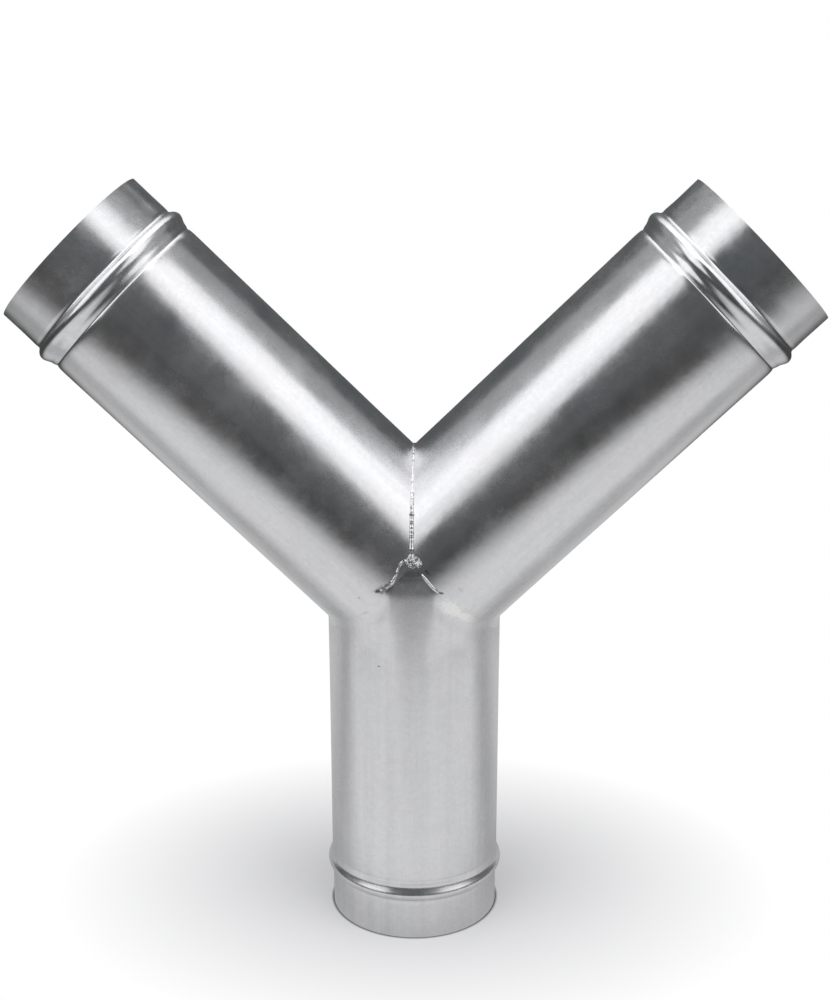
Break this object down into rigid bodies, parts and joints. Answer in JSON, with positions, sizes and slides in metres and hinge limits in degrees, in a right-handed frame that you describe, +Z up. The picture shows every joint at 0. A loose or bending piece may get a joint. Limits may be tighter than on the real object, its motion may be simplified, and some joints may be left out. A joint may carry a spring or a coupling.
{
  "type": "duct y branch",
  "caption": "Symmetric Y branch for round air ducting in galvanised sheet: a straight stem parts into angled branches, and every end is a spigot with a stop bead.",
  "frame": {"origin": "middle of the stem's rim, on the surface that it stands on", "axes": "+Z up along the stem, +X towards the right branch, +Y to the back, where the seams are"},
  "size_m": [0.4512, 0.1104, 0.4335],
  "materials": {
    "galvanised_sheet": "smooth galvanised sheet, softly glossy, with faint spangle and rolling streaks",
    "weld_metal": "bright rough weld with ripples and small dark pits"
  },
  "bodies": {
    "root": {"stem": "galvanised_sheet", "left_branch": "galvanised_sheet", "right_branch": "galvanised_sheet", "crotch_weld": "weld_metal", "left_joint_weld": "weld_metal", "right_joint_weld": "weld_metal", "front_weld_blob": "weld_metal", "back_weld_blob": "weld_metal", "stem_seam_weld": "weld_metal", "left_seam_weld": "weld_metal", "right_seam_weld": "weld_metal"}
  },
  "joints": []
}
